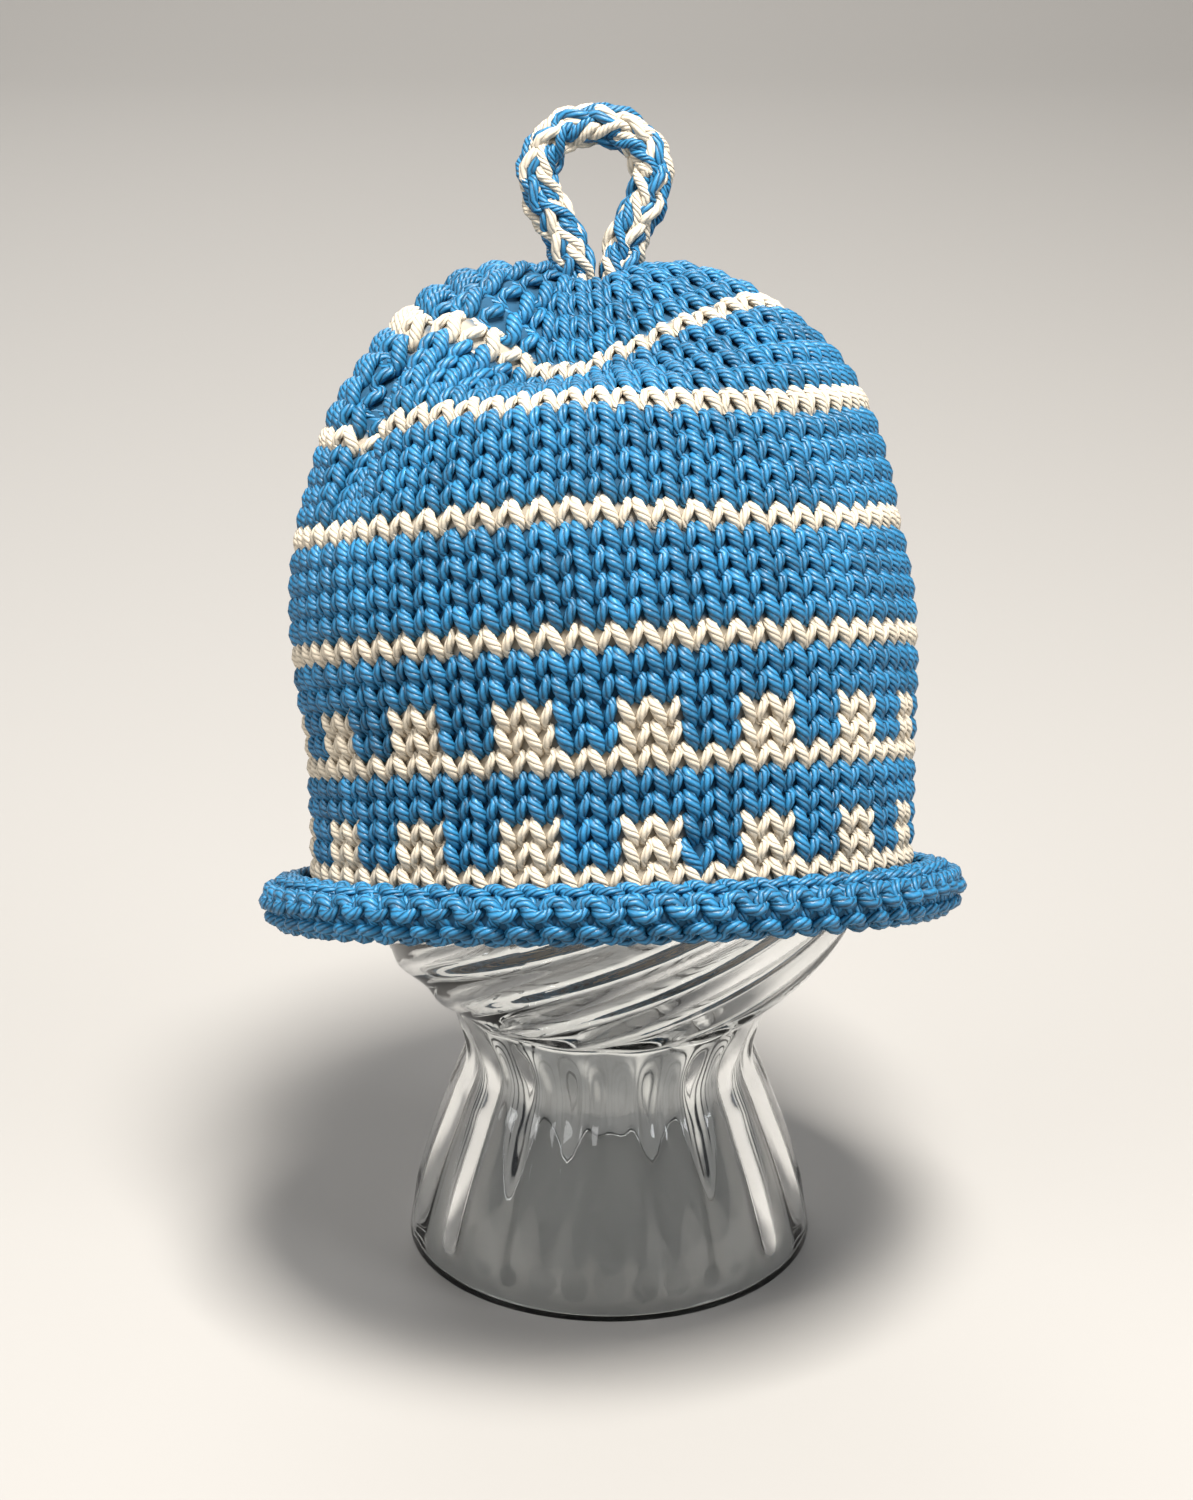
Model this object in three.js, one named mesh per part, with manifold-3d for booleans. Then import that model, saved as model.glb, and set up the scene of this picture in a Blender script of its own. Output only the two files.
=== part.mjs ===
// A baby's hat, knitted in the round in thick cotton yarn, on the upturned glass vase that holds it.
// It is four pieces: the knitted body with its gathered crown, the brim that curls up outside it, a
// corded loop on the top, and the glass. Millimetres, +Z up, the front of the hat faces -Y.
import * as THREE from "three";
import { mergeVertices } from "three/addons/utils/BufferGeometryUtils.js";
import Module from "manifold-3d";

// Driving dimensions of the hat. Its heights are measured along its own axis, from where the foot of
// the curled brim would be if it had not ridden up.
const BODY_RADIUS = 60.7; // to the middle of the wall, at the widest round
const CROWN_HEIGHT = 132; // to the middle of the wall, at the crest of the crown
const WALL = 4.4; // thickness of the knitting
const ROLL_WIDTH = 15.2; // the curled brim across, from the inside of the wall outwards
const ROLL_HEIGHT = 13.4; // the curled brim, from its foot to its top
const BRIM_LIFT = 3; // how high the brim has ridden up
const BRIM_DIP = 1.6; // degrees that the brim hangs lower at the front
const BRIM_EASE = 45; // height at which the wall no longer follows the brim
const LOOP_WIDTH = 31.2; // the top loop, outside to outside
const LOOP_HEIGHT = 39.3; // the top loop above its seat
const LOOP_ROOT = 1; // how deep the ends of the cord are drawn into the crown
const CORD = 8.4; // diameter of the cord that the loop is made of
const SEAT_GAP = 0.3; // clearance where one piece meets another

// Driving dimensions of the glass, and how the hat sits on it.
const FOOT_RADIUS = 41.6; // the flared rim that stands on the table
const WAIST_RADIUS = 29;
const WAIST_HEIGHT = 43;
const BULB_HEIGHT = 100; // the middle of the bulb above the table
const TOP_FLAT_RADIUS = 24; // the flat on top of the bulb
const GLASS = 3; // thickness of the glass
const HAT_LEAN = 22.2; // degrees that the hat leans back
const HAT_ROLL = 1.4; // degrees that it leans towards -X
const BULB_IN_HAT = 31.6; // the middle of the bulb, as a height of the hat

// Mesh steps.
const AROUND = 56;
const CROWN_ROWS = 24;
const ROLL_AROUND = 40;
const ROLL_STEPS = 16;
const LOOP_STEPS = 34;
const CORD_SIDES = 10;
const GLASS_AROUND = 32;
const FOOT_STEPS = 8;
const BULB_STEPS = 9;

// The wall from the roll to the middle of the crown. out and lean are shares of BODY_RADIUS, up is
// the share of the height between the roll and the crest, and tilt is the rise of a round towards +X.
const SECTIONS = [
  { up: 0.0, out: 0.957, lean: 0.0, tilt: 0.0 },
  { up: 0.196, out: 0.967, lean: 0.006, tilt: 0.006 },
  { up: 0.411, out: 0.995, lean: -0.009, tilt: 0.01 },
  { up: 0.562, out: 0.967, lean: -0.022, tilt: 0.011 },
  { up: 0.689, out: 0.911, lean: -0.017, tilt: 0.03 },
  { up: 0.793, out: 0.838, lean: -0.026, tilt: 0.042 },
  { up: 0.889, out: 0.696, lean: -0.02, tilt: 0.025 },
  { up: 0.95, out: 0.547, lean: -0.002, tilt: 0.0 },
  { up: 0.99, out: 0.377, lean: 0.0, tilt: 0.0 },
  { up: 1.0, out: 0.231, lean: 0.0, tilt: 0.0 },
  { up: 0.977, out: 0.115, lean: 0.0, tilt: 0.0 },
  { up: 0.945, out: 0.0, lean: 0.0, tilt: 0.0 },
];

// The dents (negative) and ridges of the slack crown. Angles are degrees, 0 at the front and
// positive towards +X. near, deepest and far are distances from the middle of the crown along the
// wall, and depth is how far the wall moves, all as shares of BODY_RADIUS.
const FOLDS = [
  { at: -8, left: 42, right: 54, flat: 0.3, near: 0.02, deepest: 0.76, far: 1.2, depth: -0.2 },
  { at: -16, left: 28, right: 27, flat: 0.35, near: 0.06, deepest: 0.74, far: 1.12, depth: -0.075 },
  { at: -44, left: 9, right: 9, flat: 0.0, near: 0.06, deepest: 0.5, far: 0.85, depth: 0.02 },
  { at: -58, left: 11, right: 12, flat: 0.1, near: 0.08, deepest: 0.92, far: 1.62, depth: -0.15 },
  { at: -89, left: 20, right: 16, flat: 0.1, near: 0.06, deepest: 0.45, far: 0.95, depth: 0.045 },
  { at: 38, left: 15, right: 18, flat: 0.0, near: 0.1, deepest: 0.7, far: 1.12, depth: -0.045 },
  { at: 84, left: 24, right: 22, flat: 0.0, near: 0.12, deepest: 0.5, far: 0.95, depth: -0.03 },
  { at: 128, left: 20, right: 24, flat: 0.1, near: 0.06, deepest: 0.6, far: 1.15, depth: -0.08 },
  { at: 176, left: 18, right: 20, flat: 0.0, near: 0.1, deepest: 0.5, far: 0.9, depth: -0.05 },
  { at: -136, left: 22, right: 20, flat: 0.1, near: 0.06, deepest: 0.66, far: 1.2, depth: -0.085 },
];

// The cord's middle line, from the foot of one leg to the top of the loop: shares of the width and
// of the height that its middle line has.
const LOOP_LINE = [
  { across: 0.4, up: 0.0 },
  { across: 0.4, up: 0.21 },
  { across: 0.6, up: 0.4 },
  { across: 0.9, up: 0.58 },
  { across: 0.99, up: 0.765 },
  { across: 0.66, up: 0.937 },
  { across: 0.0, up: 1.0 },
];

// The glass from its rim up to its waist: out is the share of the flare beyond the waist, and up
// the share of the waist's height.
const FOOT_LINE = [
  { out: 1.0, up: 0.0 },
  { out: 0.92, up: 0.14 },
  { out: 0.62, up: 0.45 },
  { out: 0.24, up: 0.76 },
  { out: 0.0, up: 1.0 },
];
const SHOULDER = 1.15; // where the bulb starts above the waist, as a share of WAIST_RADIUS

const radians = THREE.MathUtils.degToRad;
const smooth = (x, low, high) => THREE.MathUtils.smoothstep(x, low, high);

// The wall of the hat, before its folds: a profile in out and up, and how each round is shifted
// towards +X and tilted.
const SIDE_HEIGHT = CROWN_HEIGHT - ROLL_HEIGHT;
const outline = new THREE.SplineCurve(
  SECTIONS.map((s) => new THREE.Vector2(s.out * BODY_RADIUS, ROLL_HEIGHT + s.up * SIDE_HEIGHT)),
);
const slants = new THREE.SplineCurve(
  SECTIONS.map((s) => new THREE.Vector2(s.lean * BODY_RADIUS, s.tilt)),
);
const outlineLength = outline.getLength();

// How far the folds move the wall at an angle in degrees and a share of the way up the outline.
function foldDepth(degrees, share) {
  const fromMiddle = ((1 - share) * outlineLength) / BODY_RADIUS;
  let depth = 0;
  for (const f of FOLDS) {
    const away = THREE.MathUtils.euclideanModulo(degrees - f.at + 180, 360) - 180;
    const aside = Math.abs(away) / (away < 0 ? f.left : f.right);
    const inner = smooth(fromMiddle, f.near, f.deepest);
    const outer = 1 - smooth(fromMiddle, f.deepest, f.far);
    const along = fromMiddle < f.deepest ? inner : outer;
    depth += f.depth * BODY_RADIUS * (1 - smooth(aside, f.flat, 1)) * along;
  }
  return depth;
}

// How far the brim has ridden up, at a distance y towards the back.
const brimDip = Math.tan(radians(BRIM_DIP));
const brimShift = (y) => BRIM_LIFT + y * brimDip;

// A point of the middle of the wall: the outline turned about Z, pushed in by the folds, then
// leaned over, tilted, and near its foot moved with the brim.
function wallPoint(degrees, share) {
  const u = outline.getUtoTmapping(share);
  const p = outline.getPoint(u);
  const along = outline.getTangent(u);
  const slant = slants.getPoint(u);
  const depth = foldDepth(degrees, share);
  const r = Math.max(p.x + depth * along.y, 0);
  const x = r * Math.sin(radians(degrees));
  const y = -r * Math.cos(radians(degrees));
  const follow = 1 - smooth(p.y, ROLL_HEIGHT, BRIM_EASE);
  const z = p.y - depth * along.x + x * slant.y + brimShift(y) * follow;
  return new THREE.Vector3(x + slant.x, y, z);
}

// The outward normal of the wall, from its neighbours on the surface.
function wallNormal(degrees, share) {
  const step = 0.004;
  const turn = 1.5;
  const low = Math.max(share - step, 0);
  const high = Math.min(share + step, 1 - step);
  const up = wallPoint(degrees, high).sub(wallPoint(degrees, low));
  const round = wallPoint(degrees + turn, share).sub(wallPoint(degrees - turn, share));
  return round.cross(up).normalize();
}

// One round of points on a face of the wall: side is -1 for its inside and 1 for its outside.
function wallRing(side, share) {
  return Array.from({ length: AROUND }, (_, i) => {
    const degrees = (i * 360) / AROUND;
    const away = wallNormal(degrees, share).multiplyScalar((side * WALL) / 2);
    return wallPoint(degrees, share).add(away);
  });
}

// The rounds lie closer together on the crown, where the folds are.
const CROWDING = 1.3;
const shares = Array.from({ length: CROWN_ROWS }, (_, i) => 1 - (1 - i / CROWN_ROWS) ** CROWDING);
const insideRings = shares.map((share) => wallRing(-1, share));
const outsideRings = shares.map((share) => wallRing(1, share));
const crownMiddle = wallPoint(0, 1);

// A closed solid from rings of points, each ring as long as the next, and a point at each end.
function solidOfRings(first, rings, last) {
  const count = rings[0].length;
  const points = [first, ...rings.flat(), last];
  const faces = [];
  const at = (ring, i) => 1 + ring * count + (i % count);
  for (let i = 0; i < count; i++) {
    faces.push(0, at(0, i + 1), at(0, i));
    for (let ring = 0; ring + 1 < rings.length; ring++) {
      faces.push(at(ring, i), at(ring, i + 1), at(ring + 1, i));
      faces.push(at(ring, i + 1), at(ring + 1, i + 1), at(ring + 1, i));
    }
    faces.push(points.length - 1, at(rings.length - 1, i), at(rings.length - 1, i + 1));
  }
  const geometry = new THREE.BufferGeometry().setFromPoints(points);
  geometry.setIndex(faces);
  geometry.computeVertexNormals();
  return geometry;
}

// The body and crown, one shell open below: its inside face from the middle of the crown down to
// the roll, then its outside face back up. Its lower edge lies in one plane.
function bodyGeometry() {
  const flatEdge = (ring) => ring.map((p) => p.clone().setZ(ROLL_HEIGHT + brimShift(p.y)));
  const inside = [flatEdge(insideRings[0]), ...insideRings.slice(1)];
  const outside = [flatEdge(outsideRings[0]), ...outsideRings.slice(1)];
  const lift = new THREE.Vector3(0, 0, WALL / 2);
  const under = crownMiddle.clone().sub(lift);
  const over = crownMiddle.clone().add(lift);
  return solidOfRings(under, [...inside.reverse(), ...outside], over);
}

// The brim's section: the wall goes down, curls outwards and up, and tucks its edge in against
// itself. The angle runs from the inner side of the curl, through its foot, to just past its top,
// and the last part of the curl winds tighter.
const CURL_START = 180;
const CURL_TIGHTENS = 300;
const CURL_END = 478;
const CURL_TUCK = 0.3;
function brimSection() {
  const wallRadius = SECTIONS[0].out * BODY_RADIUS;
  const across = (ROLL_WIDTH - WALL) / 2;
  const up = (ROLL_HEIGHT - WALL) / 2;
  const centre = new THREE.Vector2(wallRadius + across, ROLL_HEIGHT / 2);
  const edge = ROLL_HEIGHT - SEAT_GAP;
  const outer = [new THREE.Vector2(wallRadius - WALL / 2, edge)];
  const inner = [new THREE.Vector2(wallRadius + WALL / 2, edge)];
  for (let i = 0; i <= ROLL_STEPS; i++) {
    const degrees = CURL_START + ((CURL_END - CURL_START) * i) / ROLL_STEPS;
    const tuck = 1 - CURL_TUCK * smooth(degrees, CURL_TIGHTENS, CURL_END);
    const cos = Math.cos(radians(degrees));
    const sin = Math.sin(radians(degrees));
    const normal = new THREE.Vector2(cos * up, sin * across).normalize();
    const middle = new THREE.Vector2(cos * across, sin * up).multiplyScalar(tuck).add(centre);
    outer.push(middle.clone().addScaledVector(normal, WALL / 2));
    inner.push(middle.clone().addScaledVector(normal, -WALL / 2));
  }
  return [...outer, ...inner.reverse()];
}

// A profile of x outwards and y up, closed on itself and turned about the Z axis.
function turned(profile, count) {
  const geometry = new THREE.LatheGeometry([...profile, profile[0].clone()], count);
  geometry.rotateX(Math.PI / 2);
  return geometry;
}

// The brim's section turned about the axis, and moved to where the brim lies.
function brimGeometry() {
  const moved = new THREE.Matrix4();
  moved.set(1, 0, 0, 0, 0, 1, 0, 0, 0, brimDip, 1, BRIM_LIFT, 0, 0, 0, 1);
  return turned(brimSection(), ROLL_AROUND).applyMatrix4(moved);
}

// The loop: a round cord from the foot of one leg over the top to the foot of the other.
function cordGeometry() {
  const halfWidth = (LOOP_WIDTH - CORD) / 2;
  const rise = LOOP_HEIGHT - CORD / 2 + LOOP_ROOT;
  const leg = LOOP_LINE.map(
    (p) => new THREE.Vector3(p.across * halfWidth, 0, p.up * rise - LOOP_ROOT),
  );
  const otherLeg = leg.slice(0, -1).map((p) => new THREE.Vector3(-p.x, p.y, p.z));
  const line = new THREE.CatmullRomCurve3([...leg, ...otherLeg.reverse()]);
  const section = new THREE.Shape();
  for (let i = 0; i < CORD_SIDES; i++) {
    const angle = (i * 2 * Math.PI) / CORD_SIDES;
    const point = [(CORD / 2) * Math.cos(angle), (CORD / 2) * Math.sin(angle)];
    if (i === 0) section.moveTo(...point);
    else section.lineTo(...point);
  }
  section.closePath();
  const seat = crownMiddle.clone().add(new THREE.Vector3(0, 0, WALL / 2));
  const geometry = new THREE.ExtrudeGeometry(section, { steps: LOOP_STEPS, extrudePath: line });
  return geometry.translate(seat.x, seat.y, seat.z);
}

// Booleans: a geometry as a solid, and the solid as a geometry again.
const wasm = await Module();
wasm.setup();
function solidOf(geometry) {
  const bare = geometry.clone();
  bare.deleteAttribute("normal");
  if (bare.hasAttribute("uv")) bare.deleteAttribute("uv");
  const merged = mergeVertices(bare);
  const vertProperties = new Float32Array(merged.attributes.position.array);
  const triVerts = new Uint32Array(merged.index.array);
  return new wasm.Manifold(new wasm.Mesh({ numProp: 3, vertProperties, triVerts }));
}
function geometryOf(solid) {
  const mesh = solid.getMesh();
  const geometry = new THREE.BufferGeometry();
  geometry.setAttribute("position", new THREE.BufferAttribute(mesh.vertProperties, 3));
  geometry.setIndex(new THREE.BufferAttribute(mesh.triVerts, 1));
  geometry.computeVertexNormals();
  return geometry;
}

// The loop's feet are cut to the dip that they stand in. The lower cuts leave nothing of them
// under the wall.
function loopGeometry(body) {
  const seat = solidOf(body).translate([0, 0, SEAT_GAP]);
  const under = [1, 2].map((step) => seat.translate([0, 0, (-step * WALL) / 2]));
  const cut = wasm.Manifold.union([seat, ...under]);
  return geometryOf(solidOf(cordGeometry()).subtract(cut));
}

// The bulb just fills the hat: it reaches to the nearest point of the wall's inside.
const bulbInHat = new THREE.Vector3(0, 0, BULB_IN_HAT);
const nearest = Math.min(...insideRings.flat().map((p) => p.distanceTo(bulbInHat)));
const BULB_RADIUS = nearest - SEAT_GAP;

// The glass is one wall: the flared foot, the waist, the bulb and its flat top. It is open below.
function glassOutline() {
  const shoulder = SHOULDER * WAIST_RADIUS;
  const lowest = -Math.acos(shoulder / BULB_RADIUS);
  const highest = Math.acos(TOP_FLAT_RADIUS / BULB_RADIUS);
  const onBulb = (angle) => {
    const across = BULB_RADIUS * Math.cos(angle);
    return new THREE.Vector2(across, BULB_HEIGHT + BULB_RADIUS * Math.sin(angle));
  };
  const flare = FOOT_RADIUS - WAIST_RADIUS;
  const foot = FOOT_LINE.map(
    (p) => new THREE.Vector2(WAIST_RADIUS + p.out * flare, p.up * WAIST_HEIGHT),
  );
  const bulb = Array.from({ length: BULB_STEPS + 1 }, (_, i) =>
    onBulb(THREE.MathUtils.lerp(lowest, highest, i / BULB_STEPS)),
  );
  const neck = new THREE.SplineCurve([...foot, bulb[0]]).getSpacedPoints(FOOT_STEPS);
  const top = new THREE.Vector2(0, bulb[BULB_STEPS].y);
  return [...neck, ...bulb.slice(1), top];
}

// The same line, moved inwards by the glass's thickness.
function insideOf(line) {
  return line.map((p, i) => {
    const before = line[Math.max(i - 1, 0)];
    const after = line[Math.min(i + 1, line.length - 1)];
    const along = after.clone().sub(before).normalize();
    const inner = new THREE.Vector2(p.x - along.y * GLASS, p.y + along.x * GLASS);
    if (i === 0) inner.y = p.y;
    if (i === line.length - 1) inner.x = 0;
    return inner;
  });
}

function glassGeometry() {
  const outside = glassOutline();
  return turned([...outside, ...insideOf(outside).reverse()], GLASS_AROUND);
}

const blueYarn = new THREE.MeshStandardMaterial({ color: 0x3f8fc4, roughness: 0.8, metalness: 0 });
const brimYarn = new THREE.MeshStandardMaterial({ color: 0x3585bd, roughness: 0.8, metalness: 0 });
const mixedYarn = new THREE.MeshStandardMaterial({ color: 0xa3bfcc, roughness: 0.8, metalness: 0 });
const clearGlass = new THREE.MeshStandardMaterial({
  color: 0xe8f0ee,
  roughness: 0.03,
  metalness: 0,
  transparent: true,
  opacity: 0.35,
});

function piece(name, geometry, material) {
  const mesh = new THREE.Mesh(geometry, material);
  mesh.name = name;
  return mesh;
}

const body = bodyGeometry();
const hat = new THREE.Group();
hat.add(piece("hat_body", body, blueYarn));
hat.add(piece("rolled_brim", brimGeometry(), brimYarn));
hat.add(piece("top_loop", loopGeometry(body), mixedYarn));
hat.rotation.x = -radians(HAT_LEAN);
hat.rotation.y = -radians(HAT_ROLL);
hat.position.z = BULB_HEIGHT;
hat.position.sub(bulbInHat.clone().applyEuler(hat.rotation));

const part = new THREE.Group();
part.add(hat);
part.add(piece("glass_stand", glassGeometry(), clearGlass));

// The origin is under the middle of the whole part's box.
const box = new THREE.Box3().setFromObject(part, true);
const centre = box.getCenter(new THREE.Vector3());
part.position.set(-centre.x, -centre.y, -box.min.z);

export default part;
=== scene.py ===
"""A hand-knitted baby hat with a rolled brim and a cord loop, leaning back on an upturned glass vase.

Every yarn is a tube along the path that a knitted loop takes, laid over the same slack surface that
the hat's solid has. Lengths are millimetres along the hat's own axis until they are placed.
"""

import bpy
import numpy as np
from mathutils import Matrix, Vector


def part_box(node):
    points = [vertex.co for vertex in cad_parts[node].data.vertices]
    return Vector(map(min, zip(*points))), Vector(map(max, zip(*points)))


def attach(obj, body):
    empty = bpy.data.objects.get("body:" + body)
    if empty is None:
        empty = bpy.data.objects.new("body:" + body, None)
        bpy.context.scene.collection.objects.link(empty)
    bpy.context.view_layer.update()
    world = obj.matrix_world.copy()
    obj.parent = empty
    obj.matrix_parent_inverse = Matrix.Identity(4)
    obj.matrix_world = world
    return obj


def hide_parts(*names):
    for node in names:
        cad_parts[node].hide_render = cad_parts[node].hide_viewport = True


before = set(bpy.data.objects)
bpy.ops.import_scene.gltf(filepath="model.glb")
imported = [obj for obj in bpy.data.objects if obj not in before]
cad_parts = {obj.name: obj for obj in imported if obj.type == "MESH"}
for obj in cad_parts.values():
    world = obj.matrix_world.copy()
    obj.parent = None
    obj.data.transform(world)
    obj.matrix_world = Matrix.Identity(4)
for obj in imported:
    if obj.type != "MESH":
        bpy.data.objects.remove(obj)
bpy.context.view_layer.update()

MM = 0.001
TURN = 2 * np.pi
dice = np.random.default_rng(11)

# Sizes shared with the solids, in millimetres and degrees
BODY_RADIUS = 60.7
CROWN_HEIGHT = 132.0
WALL = 4.4
ROLL_WIDTH = 15.2
ROLL_HEIGHT = 13.4
BRIM_LIFT = 3.0
BRIM_DIP = np.radians(1.6)
BRIM_EASE = 45.0
LOOP_WIDTH = 31.2
LOOP_HEIGHT = 39.3
CORD = 8.4
FOOT_RADIUS = 41.6
WAIST_RADIUS = 29.0
WAIST_HEIGHT = 43.0
BULB_HEIGHT = 100.0
TOP_FLAT_RADIUS = 24.0
GLASS = 3.0
HAT_LEAN = np.radians(22.2)
HAT_ROLL = np.radians(1.4)
BULB_IN_HAT = 31.6
stand_low, stand_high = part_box("glass_stand")
STAND_X, STAND_Y = (stand_low[0] + stand_high[0]) / 2, (stand_low[1] + stand_high[1]) / 2
BULB_RADIUS = (stand_high[0] - stand_low[0]) / 2 / MM

# The wall's outline from the roll to the middle of the crown: up, out, lean and tilt
SECTIONS = np.array([
    (0.0, 0.957, 0.0, 0.0), (0.196, 0.967, 0.006, 0.006), (0.411, 0.995, -0.009, 0.01),
    (0.562, 0.967, -0.022, 0.011), (0.689, 0.911, -0.017, 0.03), (0.793, 0.838, -0.026, 0.042),
    (0.889, 0.696, -0.02, 0.025), (0.95, 0.547, -0.002, 0.0), (0.99, 0.377, 0.0, 0.0),
    (1.0, 0.231, 0.0, 0.0), (0.977, 0.115, 0.0, 0.0), (0.945, 0.0, 0.0, 0.0),
])
# The folds of the crown: at, left, right, flat, near, deepest, far and depth
FOLDS = [
    (-8, 42, 54, 0.3, 0.02, 0.76, 1.2, -0.2), (-16, 28, 27, 0.35, 0.06, 0.74, 1.12, -0.075),
    (-44, 9, 9, 0.0, 0.06, 0.5, 0.85, 0.02), (-58, 11, 12, 0.1, 0.08, 0.92, 1.62, -0.15),
    (-89, 20, 16, 0.1, 0.06, 0.45, 0.95, 0.045), (38, 15, 18, 0.0, 0.1, 0.7, 1.12, -0.045),
    (84, 24, 22, 0.0, 0.12, 0.5, 0.95, -0.03), (128, 20, 24, 0.1, 0.06, 0.6, 1.15, -0.08),
    (176, 18, 20, 0.0, 0.1, 0.5, 0.9, -0.05), (-136, 22, 20, 0.1, 0.06, 0.66, 1.2, -0.085),
]
# Where the rows sag (negative) or rise on the slack wall: at, aside, row, rows and millimetres
SAGS = [
    (40, 46, 18.5, 7, -2.6), (-8, 36, 18, 6.5, 1.3), (-62, 34, 21, 6, -2.6), (-50, 30, 25.5, 5, -3.6),
]
# The curl of the brim, in degrees around its section
CURL_START, CURL_TIGHTENS, CURL_END, CURL_TUCK = 180, 300, 478, 0.3

# The knitting
STITCHES = 64
STITCH = 5.9  # width of a stitch
ROW = 4.6  # height of a row
LOWEST_CREAM = 12.2  # height of the first cream row
STRIPE_EVERY = 5  # rows from one cream stripe to the next
BODY_ROWS = 21  # rows of full width, up to the shoulder's cream stripe
UPPER_FROM = 11  # the first of them whose blue yarn is counted with the upper rows
CHECK_ROWS = (1, 2, 6, 7)
CROWN_COUNTS = (64, 56, 56, 48, 48, 40, 40, 32, 24, 16, 8)  # stitches in each row of the crown
NARROWINGS = 8  # parts of the crown that each narrow on their own
CREAM_CROWN_ROW = 4  # of the crown's rows, the last cream stripe
CROWN_ROW = 5.1  # height of the crown's rows up to that stripe
LAST_ROW_SHORT = 2.5  # from the last row to the middle of the crown
YARN_SHORT = 1.2  # from any yarn to the middle of the crown
ROLL_ROW = 4.8  # height of a row in the roll
LOOSE = (1, 2)  # the row and the stitch of one blue loop that was left slack
LOOSE_SPREAD = 0.11  # how much wider its legs spread, in stitches
LOOSE_DROP, LOOSE_LIFT = 2.0, 1.0  # how far it hangs down, and how much less at its head
YARN = 1.23  # radius of the blue yarn
CREAM_YARN = 1.06  # radius of the cream yarn
DEPTH = 1.0  # how far a loop's legs lie in front of the middle of the fabric, and its ends behind
# Shape of a loop in the blue rows, the cream rows and the roll: half its height in rows, how far its
# legs spread in stitches, how much its left leg is drawn out in rows, and how much the yarn thins at
# its ends
WALL_LOOP = (0.69, 0.205, 0.04, 0.24)
CREAM_LOOP = (0.69, 0.24, 0.04, 0.2)
ROLL_LOOP = (0.75, 0.19, -0.04, 0.12)
# The yarn's radius and the shape of its loops
BLUE_KNIT, CREAM_KNIT, ROLL_KNIT = (YARN, WALL_LOOP), (CREAM_YARN, CREAM_LOOP), (YARN, ROLL_LOOP)
LEFT_FORWARD, HEAD_FORWARD = 0.16, 0.35  # how far the left leg and the legs' upper halves come forward
SIZE_LIMITS = (0.4, 1.35)  # the smallest and largest stitch area that the yarn's thickness follows
FULLNESS, LEFT_FULLER = 1.04, 0.12  # the yarn's width in radii, and how much more on the left leg
FLATNESS, LEFT_FLATTER = 0.95, 0.05  # its thickness in widths, and how much less on the left leg
WANDER = 0.2  # millimetres and degrees that a loop strays by chance
UNEVEN_WIDTH, UNEVEN_TONE = 0.04, 0.16  # how much width and tone differ by chance
MIDDLE_TONE = 0.5
PLIES_QUICK, PLIES_SLOW = 0.85, 0.4  # plies passed in each millimetre of a left and of a right leg
STEPS = 16  # points along one stitch
SIDES = 8  # of the yarn
BLOCK_AT = 6.9  # degrees to the middle of a cream block
COLUMN_DRIFT = -0.015  # degrees that the columns turn for each millimetre up
DRIFT_FROM = 40  # distance up the wall at which they stand as BLOCK_AT says


def smooth(x, low, high):
    """A smooth step from 0 at low to 1 at high."""
    t = np.clip((x - low) / (high - low), 0, 1)
    return t * t * (3 - 2 * t)


def spline(points, per_span=60):
    """A uniform Catmull-Rom curve through the points, as a dense array from the first to the last."""
    padded = np.vstack([points[:1], points, points[-1:]])
    t = np.linspace(0, 1, per_span, endpoint=False)[:, None]
    spans = []
    for a, b, c, d in zip(padded, padded[1:], padded[2:], padded[3:]):
        va, vb = (c - a) / 2, (d - b) / 2
        spans.append((2 * b - 2 * c + va + vb) * t**3 + (-3 * b + 3 * c - 2 * va - vb) * t**2 + va * t + b)
    return np.vstack([*spans, points[-1:]])


def length_along(line):
    """Distance from the first point to each point of a line."""
    return np.concatenate([[0], np.cumsum(np.linalg.norm(np.diff(line, axis=0), axis=1))])


# The section of the whole fabric: negative distances wind into the roll, positive ones climb the wall
wall_line = spline(SECTIONS)
wall_section = np.stack(
    [wall_line[:, 1] * BODY_RADIUS, ROLL_HEIGHT + wall_line[:, 0] * (CROWN_HEIGHT - ROLL_HEIGHT)], axis=1)
wall_length = length_along(wall_section)
WALL_LENGTH = wall_length[-1]


def curl_section():
    """The roll's middle line: down the wall, then round an ellipse that tightens towards its end."""
    across, up = (ROLL_WIDTH - WALL) / 2, (ROLL_HEIGHT - WALL) / 2
    degrees = np.linspace(CURL_START, CURL_END, 120)
    tuck = 1 - CURL_TUCK * smooth(degrees, CURL_TIGHTENS, CURL_END)
    turn = np.radians(degrees)
    centre = np.array([wall_section[0, 0] + across, ROLL_HEIGHT / 2])
    curl = centre + np.stack([np.cos(turn) * across, np.sin(turn) * up], axis=1) * tuck[:, None]
    down = np.linspace(ROLL_HEIGHT, ROLL_HEIGHT / 2, 13)[:-1]
    straight = np.stack([np.full(len(down), wall_section[0, 0]), down], axis=1)
    return np.vstack([straight, curl])


roll_section = curl_section()
roll_length = length_along(roll_section)
ROLL_LENGTH = roll_length[-1]
section_at = np.concatenate([-roll_length[:0:-1], wall_length])
section = np.vstack([roll_section[:0:-1], wall_section])
slants = np.vstack([np.zeros((len(roll_length) - 1, 2)), wall_line[:, 2:] * [BODY_RADIUS, 1]])
tangent = np.gradient(section, section_at, axis=0)
tangent /= np.linalg.norm(tangent, axis=1)[:, None]
profile = np.hstack([section, tangent, slants])


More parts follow.
